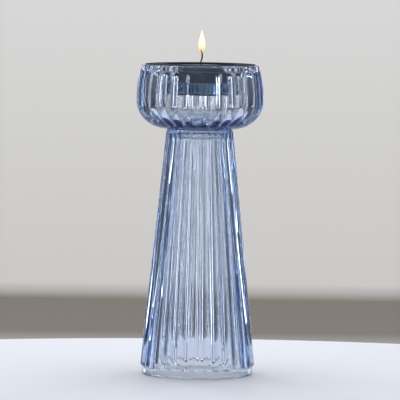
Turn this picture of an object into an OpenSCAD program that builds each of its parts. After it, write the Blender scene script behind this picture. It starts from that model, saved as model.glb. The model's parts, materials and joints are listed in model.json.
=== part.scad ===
// Ribbed glass tealight holder and bud vase, with its tealight insert and a lit tealight.
// An open ribbed bowl with a closed floor is fused onto a hollow ribbed stem. A domed metal plate
// lies in the bowl's mouth, and a clear glass cup with a thick floor hangs in the plate.
// Millimetres, +Z up, origin at the centre of the foot's resting face.

/* [Stem] */
// Height of the joint between stem and bowl
joint_h = 197.5; // [150:0.5:230]
// Radius over the ribs where they start above the foot
stem_foot_r = 46.2; // [44.8:0.2:52]
// Radius over the ribs where they end below the neck
stem_neck_r = 26.9; // [26.8:0.1:30]
// Wall between the bore and the tops of the ribs
stem_wall = 4.2; // [3.5:0.1:5]
// Radius of the plain foot band
foot_r = 44.4; // [43:0.1:44.6]
// Height of the plain foot band
foot_h = 6; // [4:0.5:10]

/* [Bowl] */
// Height from the joint to the top of the lip
bowl_h = 52; // [50:0.5:58]
// Radius over the ribs at the widest level
bowl_r = 51.2; // [50:0.2:54]
// Height of the widest level above the joint
bowl_belly_h = 22.8; // [21:0.2:26]
// Wall of the bowl
bowl_wall = 4.2; // [3.5:0.1:5]
// Thickness of the bowl's floor
bowl_floor_t = 6; // [4:0.5:8]
// Radius of the lip at its outside
lip_r = 47.2; // [46.6:0.1:47.6]

/* [Ribs] */
// Number of ribs round the stem and round the bowl
rib_count = 30; // [20:1:40]
// Depth of the grooves between ribs on the stem
stem_rib_depth = 1.9; // [0.5:0.1:2.2]
// Depth of the grooves between ribs on the bowl
bowl_rib_depth = 2; // [0.5:0.1:2.2]
// Turn of the ribs about the axis, in degrees
rib_turn = 8.6; // [0:0.2:12]

/* [Insert] */
// Radius of the plate
plate_r = 44.2; // [44:0.1:44.4]
// Thickness of the plate's metal
plate_t = 0.6; // [0.6:0.1:1]
// Rise of the plate's dome from its rim to its seat
plate_dome = 0.2; // [0.2:0.1:1]
// Radius of the glass cup outside
glass_r = 24; // [23.4:0.1:24.3]
// Radius of the glass cup inside, at its floor
well_r = 20.2; // [19.8:0.1:20.4]
// Depth of the glass cup
well_depth = 14.4; // [14:0.2:18]
// Thickness of the glass cup's floor
well_floor_t = 8.8; // [5:0.2:12]

/* [Tealight] */
// Radius of the aluminium cup
cup_r = 19; // [18.5:0.1:19.2]
// Height of the aluminium cup
cup_h = 15; // [12:0.5:18]
// Thickness of the aluminium
cup_t = 0.3; // [0.2:0.05:0.5]
// Level of the wax above the bottom of the cup
wax_h = 13.2; // [9:0.1:14]
// Radius of the wick
wick_r = 0.7; // [0.5:0.05:1]
// Height of the flame
flame_h = 20; // [12:1:30]
// Greatest radius of the flame
flame_r = 3; // [2:0.1:5]

/* [Hidden] */
$fn = 96;

neck_r = 26.5;
neck_bore_r = 18.5;
joint_ring_h = 1.6;
rib_run_out = 3;
foot_round = 1;
foot_bore_r = 41.4;
rib_steps = 4;

belly_z = joint_h + bowl_belly_h;
belly_x = 26;
belly_a = bowl_r - belly_x;
belly_b_low = bowl_belly_h - 0.4;
belly_b_high = 54.8;
bowl_rib_low = -78;
bowl_rib_high = 27;
bowl_rib_end = 0.5;
lip_z = joint_h + bowl_h;
lip_in_r = 43.4;
lip_round = (lip_r - lip_in_r) / 2;
rest_drop = lip_round - sqrt(pow(lip_round, 2) - pow(lip_r - lip_round - plate_r, 2));
rest_gap = 0.1;

plate_z = lip_z - rest_drop + rest_gap;
seat_r = 28.6;
seat_depth = 2.6;
seat_z = plate_z + plate_t + plate_dome - seat_depth;
seat_hole_r = glass_r + 0.6;
flange_r = seat_r - plate_t - 0.4;
flange_z = seat_z + rest_gap;
flange_t = 0.7;
glass_top = flange_z + flange_t;
well_z = glass_top - well_depth;
cup_z = well_z + rest_gap;
cup_lean = 0.3;

sustainer_r = 6;
sustainer_t = 0.3;
collar_r = 1.5;
collar_h = 4;
wick_bend_r = 11;
wick_bend = 28;
wick_rise = 4.2;
wick_straight_top = cup_z + wax_h + wick_rise;
flame_x = 0.9;
flame_z = wick_straight_top + 6.2;
flame_steps = 14;

// Points of an arc from angle a to angle b
function arc(cx, cz, rx, rz, a, b, n) =
    [for (i = [0:n]) let (t = a + (b - a) * i / n) [cx + rx * cos(t), cz + rz * sin(t)]];

// Share of the groove depth that is cut at a step round the ring: 1 in a groove, 0 on a rib
function groove(step) = 1 - pow(abs(sin(180 * step / rib_steps)), 0.7);

// One ring of a ribbed skin; row is [radius over the ribs, height, groove depth]
function rib_ring(row) =
    [for (i = [0 : rib_count * rib_steps - 1])
        let (t = rib_turn + 360 * i / (rib_count * rib_steps), r = row[0] - row[2] * groove(i))
        [r * cos(t), r * sin(t), row[1]]];

// Closed solid between rings of a ribbed skin, lowest row first
module ribbed_solid(rows) {
    n = rib_count * rib_steps;
    last = len(rows) - 1;
    points = [for (row = rows) each rib_ring(row)];
    walls = [for (k = [0 : last - 1], i = [0 : n - 1]) each
        let (a = k * n + i, b = k * n + (i + 1) % n)
        [[a, a + n, b], [b, a + n, b + n]]];
    bottom = [[for (i = [0 : n - 1]) i]];
    top = [[for (i = [0 : n - 1]) last * n + n - 1 - i]];
    polyhedron(points = points, faces = concat(walls, bottom, top), convexity = 8);
}

// Hollow stem with its plain foot band and neck collar
module glass_stem() {
    rib_low = foot_h;
    rib_high = joint_h - joint_ring_h;
    slope = (stem_foot_r - stem_neck_r) / (rib_high - rib_low);
    d = stem_rib_depth;
    function over_ribs(z) = stem_foot_r - slope * (z - rib_low);
    rows = [
        [foot_r + 0.4, rib_low, 0],
        [over_ribs(rib_low + 1) - 0.4, rib_low + 1, 0.5 * d],
        [over_ribs(rib_low + rib_run_out), rib_low + rib_run_out, d],
        [over_ribs(rib_high - rib_run_out), rib_high - rib_run_out, 0.7 * d],
        [over_ribs(rib_high - 1), rib_high - 1, 0.3 * d],
        [stem_neck_r - 0.1, rib_high, 0]
    ];
    color("lightsteelblue", 0.6)
    difference() {
        union() {
            ribbed_solid(rows);
            rotate_extrude() polygon(concat(
                [[0, 0], [foot_r - foot_round, 0]],
                arc(foot_r - foot_round, foot_round, foot_round, foot_round, -90, 0, 4),
                [[foot_r, foot_h + 0.5], [0, foot_h + 0.5]]));
            translate([0, 0, rib_high - 0.5]) cylinder(r = neck_r, h = joint_ring_h + 0.5);
        }
        rotate_extrude() polygon([
            [0, -1], [foot_bore_r + 0.4, -1], [foot_bore_r, 0.8],
            [over_ribs(foot_h) - stem_wall - 0.4, foot_h],
            [over_ribs(rib_high - 4) - stem_wall, rib_high - 4],
            [neck_bore_r + 1.4, rib_high - 0.6], [neck_bore_r, joint_h - 0.5],
            [neck_bore_r, joint_h + 1], [0, joint_h + 1]]);
    }
}

// Open bowl with its rounded lip and a closed floor; the plate rests on the inner round of the lip
module glass_bowl() {
    d = bowl_rib_depth;
    low = [for (t = [bowl_rib_low : 13 : -1])
        [belly_x + belly_a * cos(t), belly_z + belly_b_low * sin(t), d * min(1, (t - bowl_rib_low) / 20)]];
    high = [for (i = [0 : 6]) let (t = bowl_rib_high * i / 6)
        [belly_x + belly_a * cos(t) - (i == 6 ? bowl_rib_end : 0), belly_z + belly_b_high * sin(t),
         d * min(1, (bowl_rib_high - t) / 4)]];
    color("lightsteelblue", 0.6)
    difference() {
        union() {
            ribbed_solid(concat(low, high));
            rotate_extrude() polygon(concat(
                [[0, joint_h], [neck_r, joint_h], [neck_r + 0.6, joint_h + 1], [low[0][0], low[0][1] + 0.5],
                 [lip_r - 3, lip_z - 8], [lip_r + 0.9, lip_z - 6.4], [lip_r + 0.3, lip_z - 3.5]],
                arc(lip_r - lip_round, lip_z - lip_round, lip_round, lip_round, 0, 90, 6),
                [[0, lip_z]]));
        }
        bowl_inside();
    }
}

// Space inside the bowl, from its floor to the lip
module bowl_inside() {
    a = belly_a - bowl_wall;
    floor_z = joint_h + bowl_floor_t;
    lip_x = lip_r - lip_round;
    rotate_extrude() polygon(concat(
        [[0, floor_z], [belly_x + a * cos(-58), floor_z]],
        arc(belly_x, belly_z, a, belly_z - floor_z, -50, 0, 6),
        arc(belly_x, belly_z, a, belly_b_high - bowl_wall, 6, 24, 4),
        arc(lip_x, lip_z - lip_round, lip_round, lip_round, 180, 90, 8),
        [[lip_x, lip_z + 1], [0, lip_z + 1]]));
}

// Slightly domed plate pressed from sheet metal, with a sunk seat for the glass cup's flange
module insert_plate() {
    top = plate_z + plate_t;
    crest = top + plate_dome;
    color("dimgray")
    rotate_extrude() polygon([
        [plate_r, plate_z], [plate_r, top - 0.2], [plate_r - 0.2, top],
        [seat_r + 0.6, crest], [seat_r - plate_t + 0.2, crest], [seat_r - plate_t, crest - 0.2],
        [seat_r - plate_t, seat_z], [seat_hole_r, seat_z], [seat_hole_r, seat_z - plate_t],
        [seat_r - 0.4, seat_z - plate_t], [seat_r, seat_z - plate_t + 0.4],
        [seat_r + 0.8, crest - plate_t], [plate_r - 0.6, plate_z]]);
}

// Clear glass cup with a thick floor, hung by its flange
module insert_glass() {
    bottom = well_z - well_floor_t;
    corner = 3.4;
    color("aliceblue", 0.5)
    difference() {
        rotate_extrude() polygon(concat(
            [[0, bottom]], arc(glass_r - corner, bottom + corner, corner, corner, -90, 0, 6),
            [[glass_r, flange_z], [flange_r - 0.2, flange_z], [flange_r, flange_z + 0.2],
             [flange_r, glass_top - 0.4], [flange_r - 0.4, glass_top], [0, glass_top]]));
        rotate_extrude() polygon(concat(
            [[0, glass_top + 1], [0, well_z]],
            arc(well_r - 1, well_z + 1, 1, 1, -90, 0, 4),
            [[well_r + 0.3, glass_top - 0.8], [well_r + 1.1, glass_top], [well_r + 1.1, glass_top + 1]]));
    }
}

// Outline of the inside of the aluminium cup up to a level above its bottom; the wall leans out a little
function cup_inside(level) =
    let (corner = 0.7, wall_r = cup_r - cup_t - cup_lean)
    concat([[0, cup_t]], arc(wall_r - corner, cup_t + corner, corner, corner, -90, 0, 4),
        [[wall_r + cup_lean * (level - cup_t - corner) / cup_h, level]]);

// Drawn aluminium cup with a rolled edge
module tealight_cup() {
    color("silver")
    translate([0, 0, cup_z])
    difference() {
        union() {
            rotate_extrude() polygon(concat(
                [[0, 0]], arc(cup_r - cup_lean - 1, 1, 1, 1, -90, 0, 4), [[cup_r, cup_h], [0, cup_h]]));
            translate([0, 0, cup_h - 0.45]) rotate_extrude() translate([cup_r - 0.1, 0]) circle(r = 0.45, $fn = 24);
        }
        rotate_extrude() polygon(concat(cup_inside(cup_h + 1), [[0, cup_h + 1]]));
    }
}

// Wax cast in the cup round the sustainer and the wick
module tealight_wax() {
    color("ivory")
    difference() {
        translate([0, 0, cup_z]) rotate_extrude() polygon(concat(cup_inside(wax_h), [[0, wax_h]]));
        sustainer_body();
        translate([0, 0, cup_z + cup_t]) cylinder(r = wick_r, h = wax_h, $fn = 32);
    }
}

// Tin plate and collar that hold the wick upright, as one solid without its bore
module sustainer_body() {
    translate([0, 0, cup_z + cup_t]) {
        cylinder(r = sustainer_r, h = sustainer_t);
        cylinder(r = collar_r, h = collar_h, $fn = 32);
    }
}

module wick_sustainer() {
    color("gainsboro")
    difference() {
        sustainer_body();
        translate([0, 0, cup_z + cup_t + sustainer_t]) cylinder(r = wick_r, h = collar_h, $fn = 32);
    }
}

// Cotton wick, straight in the wax and bowed above it
module wick() {
    start = cup_z + cup_t + sustainer_t;
    color("dimgray") {
        translate([0, 0, start]) cylinder(r = wick_r, h = wick_straight_top - start, $fn = 32);
        wick_bow(wick_r);
    }
}

// Bowed end of the wick
module wick_bow(r) {
    half_rise = wick_bend_r * sin(wick_bend);
    translate([-wick_bend_r * cos(wick_bend), 0, wick_straight_top + half_rise - 0.3])
        rotate([90, 0, 0]) rotate([0, 0, -wick_bend])
        rotate_extrude(angle = 2 * wick_bend) translate([wick_bend_r, 0]) circle(r = r, $fn = 24);
}

// Flame, a drawn-out drop standing round the end of the wick
module flame() {
    outline = [for (i = [0 : flame_steps]) let (t = i / flame_steps)
        [flame_r * pow(sin(180 * pow(t, 0.72)), 0.9) * (1 - 0.25 * t), flame_h * t]];
    color("khaki", 0.8)
    difference() {
        translate([flame_x, 0, flame_z])
            rotate_extrude() polygon(concat([[0, 0]], [for (p = outline) if (p[0] > 0.01) p], [[0, flame_h]]));
        wick_bow(wick_r);
    }
}

glass_stem();
glass_bowl();
insert_plate();
insert_glass();
tealight_cup();
tealight_wax();
wick_sustainer();
wick();
flame();
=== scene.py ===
import json
import math

import bpy
from mathutils import Matrix, Vector

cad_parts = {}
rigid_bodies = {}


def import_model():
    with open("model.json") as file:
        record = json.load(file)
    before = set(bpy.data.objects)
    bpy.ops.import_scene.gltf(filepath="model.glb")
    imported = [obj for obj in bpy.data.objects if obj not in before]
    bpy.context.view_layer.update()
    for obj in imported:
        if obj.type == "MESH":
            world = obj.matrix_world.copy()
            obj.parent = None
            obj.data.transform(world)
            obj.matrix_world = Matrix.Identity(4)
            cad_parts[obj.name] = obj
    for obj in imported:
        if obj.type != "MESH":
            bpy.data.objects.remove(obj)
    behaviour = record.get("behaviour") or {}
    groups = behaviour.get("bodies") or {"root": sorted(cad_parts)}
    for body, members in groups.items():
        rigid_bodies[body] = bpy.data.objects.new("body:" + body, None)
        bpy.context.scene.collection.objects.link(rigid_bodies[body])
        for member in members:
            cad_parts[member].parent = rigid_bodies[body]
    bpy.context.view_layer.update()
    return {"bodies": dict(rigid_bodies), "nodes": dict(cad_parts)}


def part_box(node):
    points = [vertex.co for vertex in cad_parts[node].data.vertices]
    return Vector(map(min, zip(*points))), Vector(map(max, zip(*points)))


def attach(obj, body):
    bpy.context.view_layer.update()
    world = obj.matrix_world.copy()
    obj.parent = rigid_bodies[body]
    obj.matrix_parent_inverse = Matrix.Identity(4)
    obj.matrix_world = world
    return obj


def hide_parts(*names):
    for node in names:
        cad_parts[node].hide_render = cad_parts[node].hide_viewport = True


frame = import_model()

# ---- Camera ------------------------------------------------------------------------------------
# A long lens set a little higher than the flame, which looks slightly down. It is rolled by less
# than a degree, so that the holder leans slightly to the right.
bpy.ops.object.select_all(action="DESELECT")
camera_distance = 3.2
camera_height = 0.365
picture_width = 0.3222
aim = Vector((0.0008, 0.0, 0.1403))
camera_roll = math.radians(0.65)
bpy.ops.object.camera_add(location=(aim.x, -camera_distance, camera_height))
camera = bpy.context.object
look = aim - camera.location
camera.rotation_mode = "QUATERNION"
turn = look.to_track_quat("-Z", "Y").to_matrix() @ Matrix.Rotation(camera_roll, 3, "Z")
camera.rotation_quaternion = turn.to_quaternion()
camera.data.sensor_width = 36.0
camera.data.lens = camera.data.sensor_width * look.length / picture_width
camera.data.clip_end = 50.0
bpy.context.scene.camera = camera
bpy.context.scene.view_settings.view_transform = "Standard"
bpy.context.scene.cycles.max_bounces = 32
bpy.context.scene.cycles.transmission_bounces = 32
bpy.context.scene.cycles.glossy_bounces = 12

# ---- Floor, backdrop and light -----------------------------------------------------------------
# A round pale table top in front of a pale wall, with a dark band of painted shade along it just
# above the table's back edge. The room beside the wall is dim, so the ribs' flanks read dark, and
# narrow soft lights at the wall's sides edge them.
floor_radius = 0.62
floor_thickness = 0.02
floor_middle = Vector((0.0, -0.35, -floor_thickness / 2))
bpy.ops.mesh.primitive_cylinder_add(vertices=256, radius=floor_radius, depth=floor_thickness,
                                    location=floor_middle)
floor = bpy.context.object
floor.name = "floor"
bpy.ops.object.transform_apply(location=True, rotation=True, scale=True)
bevel = floor.modifiers.new("edge", "BEVEL")
bevel.width = 0.003
bevel.segments = 4
bpy.ops.object.modifier_apply(modifier=bevel.name)
bpy.ops.object.shade_smooth_by_angle(angle=math.radians(40))
floor_paint = bpy.data.materials.new("floor_paint")
floor_paint.use_nodes = True
floor_shader = floor_paint.node_tree.nodes["Principled BSDF"]
floor_shader.inputs["Base Color"].default_value = (0.80, 0.81, 0.85, 1)
floor_shader.inputs["Roughness"].default_value = 0.55
floor.data.materials.append(floor_paint)

wall_y = 1.0
wall_width = 0.92
wall_low, wall_high = -0.5, 1.7
wall_lit_to, wall_dim_from = 0.20, 0.31
shade_band_low, shade_band_high = -0.0763, -0.0337
shade_band_soft_below, shade_band_soft_above = 0.0086, 0.0107
bpy.ops.object.select_all(action="DESELECT")
bpy.ops.mesh.primitive_plane_add(size=1, location=(0, wall_y, (wall_low + wall_high) / 2),
                                 rotation=(math.radians(90), 0, 0))
wall = bpy.context.object
wall.name = "wall"
wall.scale = (wall_width, wall_high - wall_low, 1)
bpy.ops.object.transform_apply(location=True, rotation=True, scale=True)


def ranged(tree, value, span, to=(0.0, 1.0), kind="LINEAR"):
    """A value that runs from one end of to to the other while the given value runs over span."""
    node = tree.nodes.new("ShaderNodeMapRange")
    node.interpolation_type = kind
    node.inputs["From Min"].default_value, node.inputs["From Max"].default_value = span
    node.inputs["To Min"].default_value, node.inputs["To Max"].default_value = to
    tree.links.new(value, node.inputs["Value"])
    return node.outputs[0]


def place_along(tree, coordinates="Object"):
    """A node that puts out each surface point's X, Y and Z, in metres for Object coordinates."""
    where = tree.nodes.new("ShaderNodeTexCoord")
    split = tree.nodes.new("ShaderNodeSeparateXYZ")
    tree.links.new(where.outputs[coordinates], split.inputs[0])
    return split


def wall_glow():
    """An evenly lit pale wall with a low band of painted shade, fading to the sides and unseen from
    behind.
    """
    glow = bpy.data.materials.new("wall_glow")
    glow.use_nodes = True
    tree = glow.node_tree
    tree.nodes.remove(tree.nodes["Principled BSDF"])
    place = place_along(tree)
    height = ranged(tree, place.outputs["Z"], (wall_low, wall_high))
    tones = tree.nodes.new("ShaderNodeValToRGB")
    ramp = tones.color_ramp.elements
    ramp[0].position, ramp[0].color = 0.0, (0.60, 0.60, 0.62, 1)
    ramp[1].position, ramp[1].color = 1.0, (0.60, 0.60, 0.60, 1)
    # The dark band in this ramp, with its soft edges above and below, is painted shade just above the
    # table's back edge.
    for level, colour in (
        (shade_band_low - shade_band_soft_below, (0.60, 0.60, 0.62, 1)),
        (shade_band_low, (0.235, 0.215, 0.195, 1)),
        (shade_band_high, (0.225, 0.205, 0.185, 1)),
        (shade_band_high + shade_band_soft_above, (0.59, 0.58, 0.57, 1)),
        (0.365, (0.71, 0.71, 0.71, 1)),
        (1.449, (0.66, 0.66, 0.66, 1)),
    ):
        ramp.new((level - wall_low) / (wall_high - wall_low)).color = colour
    tree.links.new(height, tones.inputs[0])
    beside = tree.nodes.new("ShaderNodeMath")
    beside.operation = "ABSOLUTE"
    tree.links.new(place.outputs["X"], beside.inputs[0])
    fade = ranged(tree, beside.outputs[0], (wall_lit_to, wall_dim_from), (1.0, 0.10), "SMOOTHSTEP")
    mixed = tree.nodes.new("ShaderNodeMix")
    mixed.data_type = "RGBA"
    mixed.blend_type = "MULTIPLY"
    mixed.inputs["Factor"].default_value = 1.0
    tree.links.new(tones.outputs["Color"], mixed.inputs["A"])
    tree.links.new(fade, mixed.inputs["B"])
    shine = tree.nodes.new("ShaderNodeEmission")
    tree.links.new(mixed.outputs["Result"], shine.inputs["Color"])
    clear = tree.nodes.new("ShaderNodeBsdfTransparent")
    facing = tree.nodes.new("ShaderNodeNewGeometry")
    either = tree.nodes.new("ShaderNodeMixShader")
    tree.links.new(facing.outputs["Backfacing"], either.inputs[0])
    tree.links.new(shine.outputs[0], either.inputs[1])
    tree.links.new(clear.outputs[0], either.inputs[2])
    tree.links.new(either.outputs[0], tree.nodes["Material Output"].inputs["Surface"])
    return glow


wall.data.materials.append(wall_glow())


def surround():
    """The room beside and behind the viewer: dim and a little blue, lighter overhead."""
    world = bpy.data.worlds.new("surround")
    world.use_nodes = True
    tree = world.node_tree
    rise = place_along(tree, "Generated").outputs["Z"]
    tones = tree.nodes.new("ShaderNodeValToRGB")
    ramp = tones.color_ramp.elements
    ramp[0].position, ramp[0].color = 0.0, (0.055, 0.066, 0.09, 1)
    ramp[1].position, ramp[1].color = 1.0, (0.34, 0.36, 0.40, 1)
    tree.links.new(ranged(tree, rise, (-0.2, 0.9)), tones.inputs[0])
    tree.links.new(tones.outputs["Color"], tree.nodes["Background"].inputs["Color"])
    return world


bpy.context.scene.world = surround()


def soft_light(name, place, size, power, mirrored, aim=(0, 0, 0.15)):
    """A rectangular soft light: slightly blue if gloss and glass mirror it, or white if not."""
    bpy.ops.object.light_add(type="AREA", location=place)
    light = bpy.context.object
    light.name = name
    light.data.shape = "RECTANGLE"
    light.data.size, light.data.size_y = size
    light.data.energy = power
    light.data.color = (0.86, 0.92, 1.0) if mirrored else (1.0, 1.0, 1.0)
    light.visible_glossy = light.visible_transmission = mirrored
    light.rotation_mode = "QUATERNION"
    light.rotation_quaternion = (Vector(aim) - Vector(place)).to_track_quat("-Z", "Y")


soft_light("left_strip", (-0.50, 0.97, 0.6), (0.05, 1.9), 3.2, True)
soft_light("right_strip", (0.58, 0.97, 0.6), (0.045, 1.9), 2.8, True)
soft_light("left_far_strip", (-1.15, 0.55, 0.6), (0.07, 1.9), 2.6, True)
soft_light("right_far_strip", (1.25, 0.7, 0.6), (0.06, 1.9), 2.2, True)
soft_light("left_fill", (-1.3, -1.6, 0.9), (0.14, 1.4), 1.2, True)
soft_light("top_light", (0.0, 0.2, 2.2), (1.8, 1.6), 32.0, False)
soft_light("light_in_stem", (0.0, 0.0, 0.12), (0.03, 0.03), 0.06, False, (0, 0, 0))

# ---- Stem --------------------------------------------------------------------------------------
# A hollow tapered tube of pale blue glass with rounded ribs outside and a plain bore, pressed in
# a two-part mould. It stands on its plain foot band, which is open below.
MM = 0.001
stem_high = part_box("glass_stem")[1]
rib_count = 30
columns_per_rib = 14
rib_turn = math.radians(8.6)
stem_foot_r = 46.2 * MM
stem_neck_r = 26.9 * MM
neck_r = 26.5 * MM
neck_bore_r = 18.5 * MM
neck_ring_h = 1.6 * MM
foot_r = 44.4 * MM
foot_h = 6.0 * MM
foot_bore_r = 41.4 * MM
stem_wall = 4.2 * MM
stem_groove = 1.9 * MM
glass_skin = 2 * MM


def arc(x, z, rx, rz, start, end, points):
    """Points of an arc about (x, z), from one angle to the other in degrees."""
    angles = [math.radians(start + (end - start) * i / points) for i in range(points + 1)]
    return [(x + rx * math.cos(a), z + rz * math.sin(a)) for a in angles]


def line(start, end, points):
    """Points that divide a straight stretch evenly, without its last one."""
    across, up = end[0] - start[0], end[1] - start[1]
    return [(start[0] + across * i / points, start[1] + up * i / points) for i in range(points)]


def smooth(value):
    """Eases a share between 0 and 1."""
    value = min(1.0, max(0.0, value))
    return value * value * (3 - 2 * value)


def spun(name, outline, columns):
    """A piece turned from a closed outline of (radius, height) points round the vertical axis."""
    bpy.ops.object.select_all(action="DESELECT")
    bpy.ops.mesh.primitive_circle_add(vertices=len(outline), radius=0.01)
    piece = bpy.context.object
    piece.name = piece.data.name = name
    for vertex, (r, z) in zip(piece.data.vertices, outline):
        vertex.co = (r, 0.0, z)
    bpy.ops.object.transform_apply(location=True, rotation=True, scale=True)
    bpy.ops.object.mode_set(mode="EDIT")
    bpy.ops.mesh.select_all(action="SELECT")
    bpy.ops.mesh.spin(steps=columns, angle=2 * math.pi, center=(0, 0, 0), axis=(0, 0, 1))
    bpy.ops.mesh.select_all(action="SELECT")
    bpy.ops.mesh.remove_doubles(threshold=2e-6)
    bpy.ops.mesh.delete_loose(use_verts=True, use_edges=True, use_faces=False)
    bpy.ops.mesh.select_all(action="SELECT")
    bpy.ops.mesh.normals_make_consistent(inside=False)
    bpy.ops.object.mode_set(mode="OBJECT")
    bpy.ops.object.shade_smooth()
    return piece


def pushed(piece, name, strength, share):
    """Moves the surface along its normals by strength times share(point), as a mould does."""
    group = piece.vertex_groups.new(name=name)
    for vertex in piece.data.vertices:
        weight = share(vertex.co)
        if weight > 0:
            group.add([vertex.index], weight, "REPLACE")
    push = piece.modifiers.new(name, "DISPLACE")
    push.vertex_group = name
    push.mid_level = 0.0
    push.strength = strength
    bpy.context.view_layer.objects.active = piece
    bpy.ops.object.modifier_apply(modifier=push.name)
    piece.vertex_groups.remove(piece.vertex_groups[name])


def rippled(piece, size, strength):
    """Gives the surface the slow waves of pressed and fire-polished glass."""
    waves = bpy.data.textures.new(piece.name + "_waves", "CLOUDS")
    waves.noise_scale = size
    ripple = piece.modifiers.new("ripple", "DISPLACE")
    ripple.texture = waves
    ripple.texture_coords = "LOCAL"
    ripple.mid_level = 0.5
    ripple.strength = strength
    bpy.context.view_layer.objects.active = piece
    bpy.ops.object.modifier_apply(modifier=ripple.name)


def groove_share(point):
    """How far into a groove a point lies: 0 on the top of a rib, 1 at the bottom of the groove."""
    angle = math.atan2(point.y, point.x) - rib_turn
    across = abs(((angle * rib_count / (2 * math.pi)) % 1.0) * 2 - 1)
    bottom = 0.84
    if across < bottom:
        depth = across * across
    else:
        past = across - bottom
        depth = bottom * bottom + 2 * bottom * (past - past * past / (2 * (1 - bottom)))
    return depth / (bottom * bottom + bottom * (1 - bottom))


def seam_share(point, width):
    """How near a point is to one of the two lines where the mould's halves meet."""
    seam = math.radians(-137.0)
    angle = (math.atan2(point.y, point.x) - seam) % math.pi
    angle = min(angle, math.pi - angle)
    return smooth(1 - angle * math.hypot(point.x, point.y) / width)


def made_stem():
    """Outline, spin and ribs of the stem."""
    rib_low, rib_high = foot_h, stem_high.z - neck_ring_h
    fall = (stem_foot_r - stem_neck_r) / (rib_high - rib_low)

    def over_ribs(z):
        return stem_foot_r - fall * (z - rib_low)

    foot_edge = 1.2 * MM
    outside = arc(foot_r - foot_edge, foot_edge, foot_edge, foot_edge, -90, 0, 5)
    outside += [(foot_r, foot_h * 0.5), (foot_r, foot_h - 0.8 * MM), (foot_r + 0.06 * MM, foot_h)]
    rib_foot_r = over_ribs(foot_h)
    outside += [
        (rib_foot_r - 1.1 * MM, foot_h + 0.6 * MM),
        (rib_foot_r - 0.5 * MM, foot_h + 1.2 * MM),
        (rib_foot_r - 0.2 * MM, foot_h + 1.9 * MM),
    ]
    rib_start = foot_h + 2.8 * MM
    outside += line((over_ribs(rib_start), rib_start), (over_ribs(rib_high), rib_high), 46)
    rib_end_r = over_ribs(rib_high)
    outside += arc(rib_end_r - 0.5 * MM, rib_high - 0.2 * MM, 0.5 * MM, 0.5 * MM, 0, 75, 3)
    outside += arc(neck_r - 0.45 * MM, stem_high.z - 0.74 * MM, 0.7 * MM, 0.73 * MM, -62, 90, 9)
    bore_top = (over_ribs(rib_high - 3 * MM) - stem_wall, rib_high - 3 * MM)
    bore_low = (rib_foot_r - stem_wall - 0.4 * MM, foot_h)
    inside = [
        (neck_bore_r + 0.3 * MM, stem_high.z - 0.01 * MM),
        (neck_bore_r, stem_high.z - 0.4 * MM),
        (neck_bore_r + 0.7 * MM, rib_high + 0.2 * MM),
        (neck_bore_r + 1.4 * MM, rib_high - 0.6 * MM),
    ]
    inside += line(bore_top, bore_low, 40)
    inside += [bore_low, (foot_bore_r, 1.6 * MM)]
    inside += [(foot_bore_r + 0.15 * MM, 0.6 * MM), (foot_bore_r + 0.7 * MM, 0.0)]
    stem = spun("glass_stem_visual", outside + inside, rib_count * columns_per_rib)

    def in_grooves(point):
        radius = math.hypot(point.x, point.y)
        if radius < over_ribs(point.z) - glass_skin:
            return 0.0
        top_end = smooth((rib_high - point.z) / (3 * MM))
        taper = 0.7 + 0.3 * (rib_high - point.z) / (rib_high - rib_low)
        foot_end = max(0.0, radius - foot_r) / stem_groove if point.z < foot_h + 5 * MM else 1.0
        return min(foot_end, top_end * taper * groove_share(point))

    def on_seam(point):
        if not foot_h < point.z < rib_high:
            return 0.0
        outer = math.hypot(point.x, point.y) > over_ribs(point.z) - glass_skin
        return seam_share(point, 0.7 * MM) if outer else 0.0

    pushed(stem, "grooves", -stem_groove, in_grooves)
    pushed(stem, "seam", 0.22 * MM, on_seam)
    rippled(stem, 0.02, 0.05 * MM)
    return stem


def tinted_glass(name, tint, density):
    """Smooth clear glass that is tinted all through, and its shader."""
    glass = bpy.data.materials.new(name)
    glass.use_nodes = True
    tree = glass.node_tree
    shader = tree.nodes["Principled BSDF"]
    shader.inputs["Base Color"].default_value = (1, 1, 1, 1)
    shader.inputs["IOR"].default_value = 1.5
    shader.inputs["Transmission Weight"].default_value = 1.0
    inside = tree.nodes.new("ShaderNodeVolumeAbsorption")
    inside.inputs["Color"].default_value = (*tint, 1)
    inside.inputs["Density"].default_value = density
    tree.links.new(inside.outputs[0], tree.nodes["Material Output"].inputs["Volume"])
    return glass, shader


def blue_glass():
    """Pale blue glass with a trace of dust and wear that dulls its surface in specks."""
    glass, shader = tinted_glass("blue_glass", (0.14, 0.38, 0.73), 54.0)
    tree = glass.node_tree
    where = tree.nodes.new("ShaderNodeTexCoord")
    specks = tree.nodes.new("ShaderNodeTexNoise")
    specks.inputs["Scale"].default_value = 90.0
    specks.inputs["Detail"].default_value = 4.0
    tree.links.new(where.outputs["Object"], specks.inputs["Vector"])
    dull = ranged(tree, specks.outputs["Fac"], (0.45, 0.8), (0.0, 0.06))
    tree.links.new(dull, shader.inputs["Roughness"])
    return glass


glass_material = blue_glass()
stem_piece = made_stem()
stem_piece.data.materials.append(glass_material)
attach(stem_piece, "holder")
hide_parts("glass_stem")

# ---- Bowl --------------------------------------------------------------------------------------
# An open ribbed bowl of the same glass with a closed floor, fused onto the stem at the neck. Its
# lip is smooth and rounded, and the metal plate rests on its inner round.
bowl_low, bowl_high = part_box("glass_bowl")
belly_z = bowl_low.z + 22.8 * MM
belly_x = 26 * MM
belly_a = 25.2 * MM
belly_b_low = 22.4 * MM
belly_b_high = 54.8 * MM
bowl_wall = 4.2 * MM
bowl_floor_t = 6 * MM
lip_r = 47.2 * MM
lip_in_r = 43.4 * MM
lip_round = (lip_r - lip_in_r) / 2
bowl_groove = 2.0 * MM
bowl_low_turn = 76
bowl_high_turn = 26.4
bowl_rib_turn = 26.8


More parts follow.
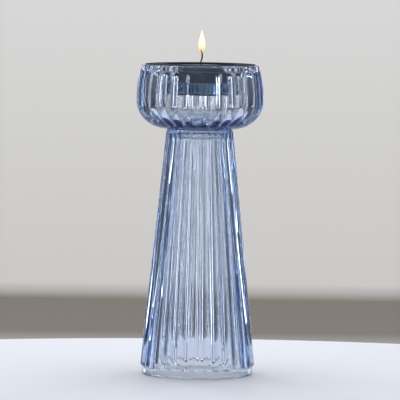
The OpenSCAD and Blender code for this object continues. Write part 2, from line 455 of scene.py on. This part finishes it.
def made_bowl():
    """Outline, spin and ribs of the bowl."""
    top = bowl_high.z
    base = bowl_low.z
    outside = [(0.0, base), (neck_bore_r * 0.5, base), (neck_bore_r, base + 0.01 * MM)]
    outside += [
        (neck_r - 0.4 * MM, base + 0.01 * MM),
        (neck_r, base + 0.3 * MM),
        (neck_r + 0.6 * MM, base + 0.9 * MM),
    ]
    outside += arc(belly_x, belly_z, belly_a, belly_b_low, -bowl_low_turn, 0, 34)
    outside += arc(belly_x, belly_z, belly_a, belly_b_high, 1.2, bowl_high_turn, 24)
    outside += [
        (lip_r + 0.85 * MM, top - 4.4 * MM),
        (lip_r + 0.45 * MM, top - 4.0 * MM),
        (lip_r + 0.2 * MM, top - 3.3 * MM),
    ]
    outside += arc(lip_r - lip_round, top - lip_round, lip_round, lip_round, 0, 90, 8)
    mouth = arc(lip_r - lip_round, top - lip_round, lip_round, lip_round, 101, 180, 7)
    mouth += [(lip_in_r + 0.3 * MM, top - 4.2 * MM)]
    inner_a = belly_a - bowl_wall
    floor_z = base + bowl_floor_t
    inner_low = belly_z - floor_z
    inside = arc(belly_x, belly_z, inner_a, belly_b_high - bowl_wall, 24, 3, 10)
    inside += arc(belly_x, belly_z, inner_a, inner_low, 0, -86, 22)
    inside += [(belly_x * 0.8, floor_z), (belly_x * 0.5, floor_z)]
    inside += [(belly_x * 0.2, floor_z), (0.0, floor_z)]
    bowl = spun("glass_bowl_visual", outside + mouth + inside, rib_count * columns_per_rib)
    rib_low = belly_z - belly_b_low * math.sin(math.radians(bowl_low_turn))
    rib_high = belly_z + belly_b_high * math.sin(math.radians(bowl_rib_turn))

    def in_grooves(point):
        b = belly_b_low if point.z < belly_z else belly_b_high
        rise = max(-1.0, min(1.0, (point.z - belly_z) / b))
        skin = belly_x + belly_a * math.cos(math.asin(rise))
        if math.hypot(point.x, point.y) < skin - 0.5 * MM or not rib_low < point.z < rib_high:
            return 0.0
        ends = smooth((point.z - rib_low) / (5 * MM)) * smooth((rib_high - point.z) / (2.6 * MM))
        return ends * groove_share(point)

    def on_seam(point):
        outer = math.hypot(point.x, point.y) > 44.6 * MM and point.z < top - 1.5 * MM
        return seam_share(point, 0.8 * MM) if outer else 0.0

    pushed(bowl, "grooves", -bowl_groove, in_grooves)
    pushed(bowl, "seam", 0.2 * MM, on_seam)
    rippled(bowl, 0.016, 0.07 * MM)
    return bowl


bowl_piece = made_bowl()
bowl_piece.data.materials.append(glass_material)
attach(bowl_piece, "holder")
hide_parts("glass_bowl")

# ---- Plate -------------------------------------------------------------------------------------
# A plate pressed from blackened sheet metal, slightly domed. It lies on the inner round of the
# lip, and a sunk seat round its hole takes the flange of the glass cup.
plate_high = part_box("insert_plate")[1]
plate_r = 44.2 * MM
plate_t = 0.6 * MM
seat_r = 28.6 * MM
seat_hole_r = 24.6 * MM
plate_dome = 0.2 * MM
plate_rim_z = plate_high.z - plate_dome - plate_t
seat_z = plate_high.z - 2.6 * MM
seat_low_z = seat_z - plate_t


def grain_group():
    """Fine grain for rubbed and cast surfaces: an uneven mask between 0 and 1."""
    group = bpy.data.node_groups.new("surface_grain", "ShaderNodeTree")
    for name, kind in (("Vector", "NodeSocketVector"), ("Scale", "NodeSocketFloat")):
        group.interface.new_socket(name=name, in_out="INPUT", socket_type=kind)
    group.interface.new_socket(name="Mask", in_out="OUTPUT", socket_type="NodeSocketFloat")
    start = group.nodes.new("NodeGroupInput")
    end = group.nodes.new("NodeGroupOutput")
    noise = group.nodes.new("ShaderNodeTexNoise")
    noise.inputs["Detail"].default_value = 6.0
    noise.inputs["Roughness"].default_value = 0.65
    group.links.new(start.outputs["Vector"], noise.inputs["Vector"])
    group.links.new(start.outputs["Scale"], noise.inputs["Scale"])
    mask = ranged(group, noise.outputs["Fac"], (0.3, 0.7))
    group.links.new(mask, end.inputs["Mask"])
    return group


surface_grain = grain_group()


def grained(name, dark, light, rough, scale, stretch=(1, 1, 1), bump=0.1):
    """A material whose colour, roughness and relief follow the surface grain, and its shader."""
    material = bpy.data.materials.new(name)
    material.use_nodes = True
    tree = material.node_tree
    shader = tree.nodes["Principled BSDF"]
    where = tree.nodes.new("ShaderNodeTexCoord")
    mapping = tree.nodes.new("ShaderNodeMapping")
    mapping.inputs["Scale"].default_value = stretch
    tree.links.new(where.outputs["Object"], mapping.inputs["Vector"])
    grain = tree.nodes.new("ShaderNodeGroup")
    grain.node_tree = surface_grain
    grain.inputs["Scale"].default_value = scale
    tree.links.new(mapping.outputs[0], grain.inputs["Vector"])
    tone = tree.nodes.new("ShaderNodeMix")
    tone.data_type = "RGBA"
    tone.inputs["A"].default_value = (*dark, 1)
    tone.inputs["B"].default_value = (*light, 1)
    tree.links.new(grain.outputs["Mask"], tone.inputs["Factor"])
    tree.links.new(tone.outputs["Result"], shader.inputs["Base Color"])
    dull = ranged(tree, grain.outputs["Mask"], (0.0, 1.0), rough)
    tree.links.new(dull, shader.inputs["Roughness"])
    relief = tree.nodes.new("ShaderNodeBump")
    relief.inputs["Strength"].default_value = bump
    relief.inputs["Distance"].default_value = 0.0002
    tree.links.new(grain.outputs["Mask"], relief.inputs["Height"])
    tree.links.new(relief.outputs[0], shader.inputs["Normal"])
    return material, shader


def made_plate():
    """Pressed outline of the plate with its rounded edges."""
    top = plate_rim_z + plate_t
    crest = plate_high.z
    hole_edge = seat_r - plate_t
    half_way = seat_r + 8 * MM
    half_fall = plate_dome / 2
    rim = [
        (plate_r - 0.3 * MM, plate_rim_z),
        (plate_r, plate_rim_z + 0.2 * MM),
        (plate_r, top - 0.25 * MM),
        (plate_r - 0.08 * MM, top - 0.08 * MM),
        (plate_r - 0.3 * MM, top),
    ]
    over = [
        (half_way, crest - half_fall),
        (seat_r + 0.6 * MM, crest),
        (hole_edge + 0.2 * MM, crest),
        (hole_edge + 0.05 * MM, crest - 0.06 * MM),
    ]
    seat = [
        (hole_edge, crest - 0.25 * MM),
        (hole_edge, seat_z + 0.1 * MM),
        (hole_edge - 0.1 * MM, seat_z),
        (seat_hole_r + 0.15 * MM, seat_z),
        (seat_hole_r, seat_z - 0.15 * MM),
        (seat_hole_r, seat_low_z + 0.15 * MM),
        (seat_hole_r + 0.15 * MM, seat_low_z),
    ]
    below = [
        (seat_r - 0.4 * MM, seat_low_z),
        (seat_r, seat_low_z + 0.4 * MM),
        (seat_r + 0.8 * MM, crest - plate_t),
        (half_way, crest - half_fall - plate_t),
    ]
    return spun("insert_plate_visual", rim + over + seat + below, 180)


plate_piece = made_plate()
plate_metal, plate_shader = grained("dark_plate", (0.030, 0.034, 0.050), (0.050, 0.056, 0.078),
                                    rough=(0.62, 0.82), scale=700.0)
plate_shader.inputs["Metallic"].default_value = 0.0
plate_shader.inputs["Specular IOR Level"].default_value = 0.01
plate_piece.data.materials.append(plate_metal)
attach(plate_piece, "plate")
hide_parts("insert_plate")

# ---- Glass cup ---------------------------------------------------------------------------------
# A clear pressed-glass cup with a thick floor. It hangs by its flange in the plate's seat, and
# its well takes a standard tealight with a little room round it.
glass_low, glass_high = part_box("insert_glass")
glass_r = 24 * MM
flange_r = seat_r - plate_t - 0.4 * MM
flange_z = seat_z + 0.1 * MM
well_r = 20.2 * MM
well_z = glass_high.z - 14.4 * MM


def made_glass_cup():
    """Turned outline of the cup with its rounded foot, flange and well."""
    corner = 3.4 * MM
    top = glass_high.z
    outside = [(0.0, glass_low.z), (glass_r * 0.3, glass_low.z), (glass_r * 0.65, glass_low.z)]
    outside += arc(glass_r - corner, glass_low.z + corner, corner, corner, -90, 0, 9)
    outside += line((glass_r, glass_low.z + corner + 1 * MM), (glass_r, flange_z), 8)
    outside += [(glass_r, flange_z), (flange_r - 0.2 * MM, flange_z), (flange_r, flange_z + 0.2 * MM)]
    outside += [
        (flange_r, top - 0.4 * MM),
        (flange_r - 0.12 * MM, top - 0.12 * MM),
        (flange_r - 0.4 * MM, top),
    ]
    inside = [
        (well_r + 1.3 * MM, top),
        (well_r + 0.7 * MM, top - 0.25 * MM),
        (well_r + 0.35 * MM, top - 0.9 * MM),
    ]
    inside += line((well_r + 0.3 * MM, top - 2 * MM), (well_r, well_z + 1.2 * MM), 6)
    inside += arc(well_r - 1 * MM, well_z + 1 * MM, 1 * MM, 1 * MM, 0, -90, 6)
    inside += [(well_r * 0.65, well_z), (well_r * 0.3, well_z), (0.0, well_z)]
    cup = spun("insert_glass_visual", outside + inside, 144)
    rippled(cup, 0.01, 0.08 * MM)
    return cup


def clear_glass():
    """Clear glass with a blue-grey cast, which shows most in the cup's thick floor."""
    glass, shader = tinted_glass("clear_glass", (0.17, 0.315, 0.50), 52.0)
    tree = glass.node_tree
    where = tree.nodes.new("ShaderNodeTexCoord")
    grain = tree.nodes.new("ShaderNodeGroup")
    grain.node_tree = surface_grain
    grain.inputs["Scale"].default_value = 120.0
    tree.links.new(where.outputs["Object"], grain.inputs["Vector"])
    dull = ranged(tree, grain.outputs["Mask"], (0.0, 1.0), (0.0, 0.05))
    tree.links.new(dull, shader.inputs["Roughness"])
    return glass


glass_cup_piece = made_glass_cup()
glass_cup_piece.data.materials.append(clear_glass())
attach(glass_cup_piece, "glass_cup")
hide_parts("insert_glass")

# ---- Tealight cup ------------------------------------------------------------------------------
# A cup drawn from thin aluminium foil, with a rolled edge and the faint upright creases that the
# drawing leaves in its wall. It stands loose on the floor of the glass cup.
cup_low, cup_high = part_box("tealight_cup")
cup_r = 19 * MM
cup_t = 0.3 * MM
cup_lean = 0.3 * MM
cup_roll = 0.42 * MM
cup_creases = 44


def made_cup():
    """Outline, spin and creases of the foil cup."""
    cup_foot_r = cup_r - cup_lean
    corner = 1 * MM
    roll_z = cup_high.z - cup_roll - 0.02 * MM
    outside = [(0.0, cup_low.z), (cup_foot_r * 0.4, cup_low.z), (cup_foot_r * 0.8, cup_low.z)]
    outside += arc(cup_foot_r - corner, cup_low.z + corner, corner, corner, -90, 0, 6)
    wall_start = (cup_foot_r + 0.02 * MM, cup_low.z + 1.6 * MM)
    outside += line(wall_start, (cup_r - 0.12 * MM, roll_z - 0.4 * MM), 12)
    outside += arc(cup_r - 0.1 * MM, roll_z, cup_roll, cup_roll, -60, 210, 12)
    wall_r = cup_foot_r - cup_t
    bottom = cup_low.z + cup_t
    inner_corner = corner - cup_t
    inside = line((cup_r - cup_t - 0.2 * MM, roll_z - 0.6 * MM), (wall_r, cup_low.z + 1.2 * MM), 10)
    inside += arc(wall_r - inner_corner, cup_low.z + corner, inner_corner, inner_corner, 0, -90, 5)
    inside += [(wall_r * 0.6, bottom), (wall_r * 0.3, bottom), (0.0, bottom)]
    cup = spun("tealight_cup_visual", outside + inside, cup_creases * 6)

    def in_creases(point):
        inner = math.hypot(point.x, point.y) < cup_foot_r - 0.1 * MM
        if inner or point.z > roll_z - 0.6 * MM:
            return 0.0
        wave = 0.5 + 0.5 * math.cos(math.atan2(point.y, point.x) * cup_creases)
        return wave * wave * smooth((point.z - cup_low.z - 1.5 * MM) / (5 * MM))

    pushed(cup, "creases", -0.07 * MM, in_creases)
    return cup


cup_piece = made_cup()
# Both foil colours sit far below bare aluminium's brightness: painted shade for the dim side the cup
# turns to the camera. The grain between them is the foil's own uneven tone.
cup_metal, cup_shader = grained("cup_aluminium", (0.28, 0.29, 0.31), (0.40, 0.41, 0.43),
                                rough=(0.28, 0.46), scale=900.0, stretch=(1, 1, 0.08))
cup_shader.inputs["Metallic"].default_value = 1.0
cup_piece.data.materials.append(cup_metal)
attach(cup_piece, "tealight")
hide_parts("tealight_cup")

# ---- Wax ---------------------------------------------------------------------------------------
# White paraffin cast in the cup. A shallow pool has melted round the wick, and the set wax climbs
# a little up the foil at its edge.
wax_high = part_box("tealight_wax")[1]
wax_gap = 0.03 * MM


def made_wax():
    """Turned outline of the wax with its pool and its raised edge."""
    wax_foot_r = cup_r - cup_lean - cup_t - wax_gap
    edge_r = wax_foot_r + cup_lean * 0.7
    low = cup_low.z + cup_t + wax_gap
    top = wax_high.z
    corner = 0.7 * MM
    body = [(0.0, low), (wax_foot_r * 0.5, low)]
    body += arc(wax_foot_r - corner, low + corner, corner, corner, -90, 0, 4)
    edge = [
        (edge_r, top - 0.25 * MM),
        (edge_r - 0.1 * MM, top - 0.02 * MM),
        (edge_r - 0.5 * MM, top - 0.2 * MM),
        (edge_r - 1.6 * MM, top - 0.5 * MM),
    ]
    pool = [(14 * MM, top - 0.6 * MM), (12.6 * MM, top - 0.75 * MM), (11.9 * MM, top - 1.0 * MM)]
    pool += [(8 * MM, top - 1.05 * MM), (3 * MM, top - 1.0 * MM)]
    round_wick = [(1.3 * MM, top - 0.8 * MM), (0.8 * MM, top - 0.35 * MM), (0.0, top - 0.3 * MM)]
    wax = spun("tealight_wax_visual", body + edge + pool + round_wick, 96)
    rippled(wax, 0.006, 0.03 * MM)
    return wax


wax_piece = made_wax()
wax_material, wax_shader = grained("wax", (0.86, 0.80, 0.70), (0.94, 0.90, 0.82),
                                   rough=(0.12, 0.4), scale=220.0)
wax_shader.inputs["Subsurface Weight"].default_value = 0.6
wax_shader.inputs["Subsurface Radius"].default_value = (0.006, 0.004, 0.0025)
wax_piece.data.materials.append(wax_material)
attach(wax_piece, "tealight")
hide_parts("tealight_wax")

# ---- Wick sustainer ----------------------------------------------------------------------------
# A round tin plate with a crimped collar, stamped in one piece. It lies at the bottom of the wax
# and holds the wick upright.
sustainer_tin, tin_shader = grained("tin", (0.5, 0.5, 0.5), (0.66, 0.66, 0.65),
                                    rough=(0.3, 0.5), scale=800.0)
tin_shader.inputs["Metallic"].default_value = 1.0
sustainer_node = frame["nodes"]["wick_sustainer"]
sustainer_node.data.materials.clear()
sustainer_node.data.materials.append(sustainer_tin)

# ---- Wick --------------------------------------------------------------------------------------
# A plaited cotton wick soaked in wax. It stands straight in the wax, and its charred end bows to
# one side above it.
wick_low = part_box("wick")[0]
wick_r = 0.66 * MM
wick_bend_r = 11 * MM
wick_bend = math.radians(28)
wick_bow_z = cup_low.z + 17.4 * MM
char_z = wick_bow_z - 2.6 * MM
plait_strands = 3
plait_radians_per_metre = 3400


def made_wick():
    """Extrudes a ring up the straight stretch and round the bow, then plaits its surface."""
    bpy.ops.object.select_all(action="DESELECT")
    bpy.ops.mesh.primitive_circle_add(vertices=16, radius=wick_r, fill_type="NGON",
                                      location=(0, 0, wick_low.z))
    wick = bpy.context.object
    wick.name = wick.data.name = "wick_visual"
    bpy.ops.object.transform_apply(location=True, rotation=True, scale=True)
    bpy.ops.object.mode_set(mode="EDIT")
    bpy.ops.mesh.select_all(action="SELECT")

    def extruded(x, z):
        bpy.ops.mesh.extrude_region_move(TRANSFORM_OT_translate={"value": (x, 0, z)})

    straight_steps = 40
    for _ in range(straight_steps):
        extruded(0, (wick_bow_z - wick_low.z) / straight_steps)
    bend = math.degrees(wick_bend)
    bow = arc(0, 0, wick_bend_r, wick_bend_r, -bend, bend, 26)
    for before, after in zip(bow, bow[1:]):
        extruded(after[0] - before[0], after[1] - before[1])
    bpy.ops.mesh.select_all(action="SELECT")
    bpy.ops.mesh.normals_make_consistent(inside=False)
    bpy.ops.object.mode_set(mode="OBJECT")
    bpy.ops.object.shade_smooth()

    def plait(point):
        turn = plait_strands * math.atan2(point.y, point.x)
        climb = point.z * plait_radians_per_metre
        return 0.5 + 0.5 * math.sin(turn + climb) * math.sin(turn - climb)

    pushed(wick, "plait", -0.14 * MM, plait)
    return wick


def cotton():
    """Waxed cotton, browned by the heat and with painted glow of the flame in its amber tone, and
    charred black at its upper end.
    """
    # The amber-brown below the char is partly the heat-browned cotton and partly painted glow of the
    # flame on it.
    material, shader = grained("cotton", (0.34, 0.20, 0.10), (0.55, 0.36, 0.20),
                               rough=(0.6, 0.9), scale=1500.0)
    tree = material.node_tree
    browned_and_glowing_tone = shader.inputs["Base Color"].links[0].from_socket
    height = place_along(tree).outputs["Z"]
    burnt = ranged(tree, height, (char_z - 0.8 * MM, char_z + 0.5 * MM))
    char = tree.nodes.new("ShaderNodeMix")
    char.data_type = "RGBA"
    char.inputs["B"].default_value = (0.012, 0.01, 0.009, 1)
    tree.links.new(burnt, char.inputs["Factor"])
    tree.links.new(browned_and_glowing_tone, char.inputs["A"])
    tree.links.new(char.outputs["Result"], shader.inputs["Base Color"])
    return material


wick_piece = made_wick()
wick_piece.data.materials.append(cotton())
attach(wick_piece, "tealight")
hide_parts("wick")

# ---- Flame -------------------------------------------------------------------------------------
# The steady flame of a tealight: a drawn-out drop of glowing gas round the end of the wick, faint
# and amber at its foot and nearly white above.
flame_low, flame_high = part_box("flame")
flame_x = (flame_low.x + flame_high.x) / 2
flame_h = flame_high.z - flame_low.z
flame_r = (flame_high.x - flame_low.x) / 2
flame_low_bulge = 0.72
flame_fullness = 0.9
flame_narrowing = 0.25


def made_flame():
    """Turned drop that is widest a little below its middle, set over the wick's bowed end."""
    steps = 30
    outline = [(0.0, flame_low.z + 0.1 * MM)]
    for i in range(1, steps):
        t = i / steps
        width = math.sin(math.pi * t ** flame_low_bulge) ** flame_fullness
        width *= (1 - flame_narrowing * t) / 0.9
        outline.append((flame_r * min(1.0, width), flame_low.z + flame_h * t))
    outline.append((0.0, flame_high.z - 0.05 * MM))
    flame = spun("flame_visual", outline, 48)
    bpy.ops.object.mode_set(mode="EDIT")
    bpy.ops.mesh.select_all(action="SELECT")
    bpy.ops.transform.translate(value=(flame_x, 0, 0))
    bpy.ops.object.mode_set(mode="OBJECT")
    return flame


def glowing_gas():
    """Glow that runs from amber and see-through at the foot to white."""
    gas = bpy.data.materials.new("flame")
    gas.use_nodes = True
    tree = gas.node_tree
    shader = tree.nodes["Principled BSDF"]
    shader.inputs["Base Color"].default_value = (0, 0, 0, 1)
    shader.inputs["Specular IOR Level"].default_value = 0.0
    shader.inputs["Emission Strength"].default_value = 1.25
    height = ranged(tree, place_along(tree).outputs["Z"], (flame_low.z, flame_high.z))
    colour = tree.nodes.new("ShaderNodeValToRGB")
    ramp = colour.color_ramp.elements
    ramp[0].position, ramp[0].color = 0.0, (0.9, 0.42, 0.12, 1)
    ramp[1].position, ramp[1].color = 1.0, (1.0, 0.86, 0.6, 1)
    ramp.new(0.25).color = (1.0, 0.78, 0.4, 1)
    ramp.new(0.42).color = (1.0, 0.97, 0.72, 1)
    ramp.new(0.85).color = (1.0, 0.97, 0.75, 1)
    tree.links.new(height, colour.inputs[0])
    tree.links.new(colour.outputs["Color"], shader.inputs["Emission Color"])
    tree.links.new(ranged(tree, height, (0.0, 0.38), (0.04, 1.0)), shader.inputs["Alpha"])
    return gas


flame_piece = made_flame()
flame_piece.data.materials.append(glowing_gas())
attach(flame_piece, "tealight")
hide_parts("flame")

bpy.ops.object.light_add(type="POINT", location=(flame_x, 0, flame_low.z + flame_h * 0.4))
flame_light = bpy.context.object
flame_light.name = "flame_light"
flame_light.data.energy = 0.016
flame_light.data.color = (1.0, 0.72, 0.5)
flame_light.data.shadow_soft_size = flame_r
flame_light.visible_camera = flame_light.visible_transmission = False
flame_light.parent = frame["bodies"]["tealight"]
